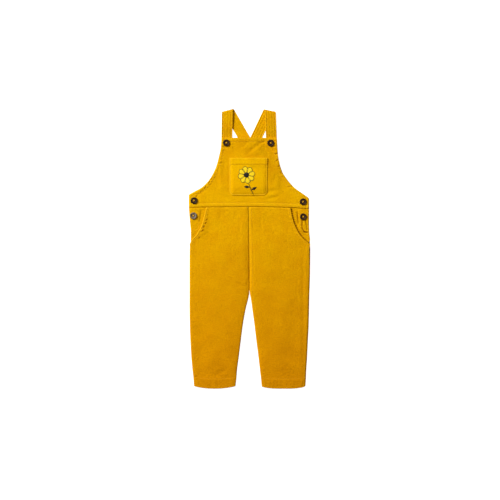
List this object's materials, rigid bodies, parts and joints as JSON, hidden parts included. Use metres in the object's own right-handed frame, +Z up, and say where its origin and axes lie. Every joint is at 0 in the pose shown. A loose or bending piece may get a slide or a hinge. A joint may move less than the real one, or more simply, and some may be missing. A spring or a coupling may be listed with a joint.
{
  "type": "kids dungarees",
  "caption": "Bib dungarees in fine needlecord for a small child, laid flat with folded crossed straps, a patch pocket on the bib, curved hip pockets and buttoned sides.",
  "frame": {"origin": "on the surface that the garment lies on, below the middle of its outline", "axes": "+Y towards the shoulder straps, +X to the viewer's right looking down at the front, +Z up out of the front"},
  "size_m": [0.2661, 0.612, 0.01],
  "materials": {
    "needlecord": "mustard yellow fine cord with lengthwise wales and a soft short nap",
    "button_horn": "dark brown mottled horn, polished"
  },
  "bodies": {
    "root": {"back_leg_left": "needlecord", "back_leg_right": "needlecord", "back_yoke": "needlecord", "button_stand_left": "needlecord", "button_stand_right": "needlecord", "strap_left": "needlecord", "strap_right": "needlecord", "hip_panel_left": "needlecord", "hip_panel_right": "needlecord", "front_leg_left": "needlecord", "front_leg_right": "needlecord", "bib_front": "needlecord", "bib_pocket": "needlecord", "bib_button_left": "button_horn", "bib_button_right": "button_horn", "side_button_left_upper": "button_horn", "side_button_left_lower": "button_horn", "side_button_right_upper": "button_horn", "side_button_right_lower": "button_horn"}
  },
  "joints": []
}
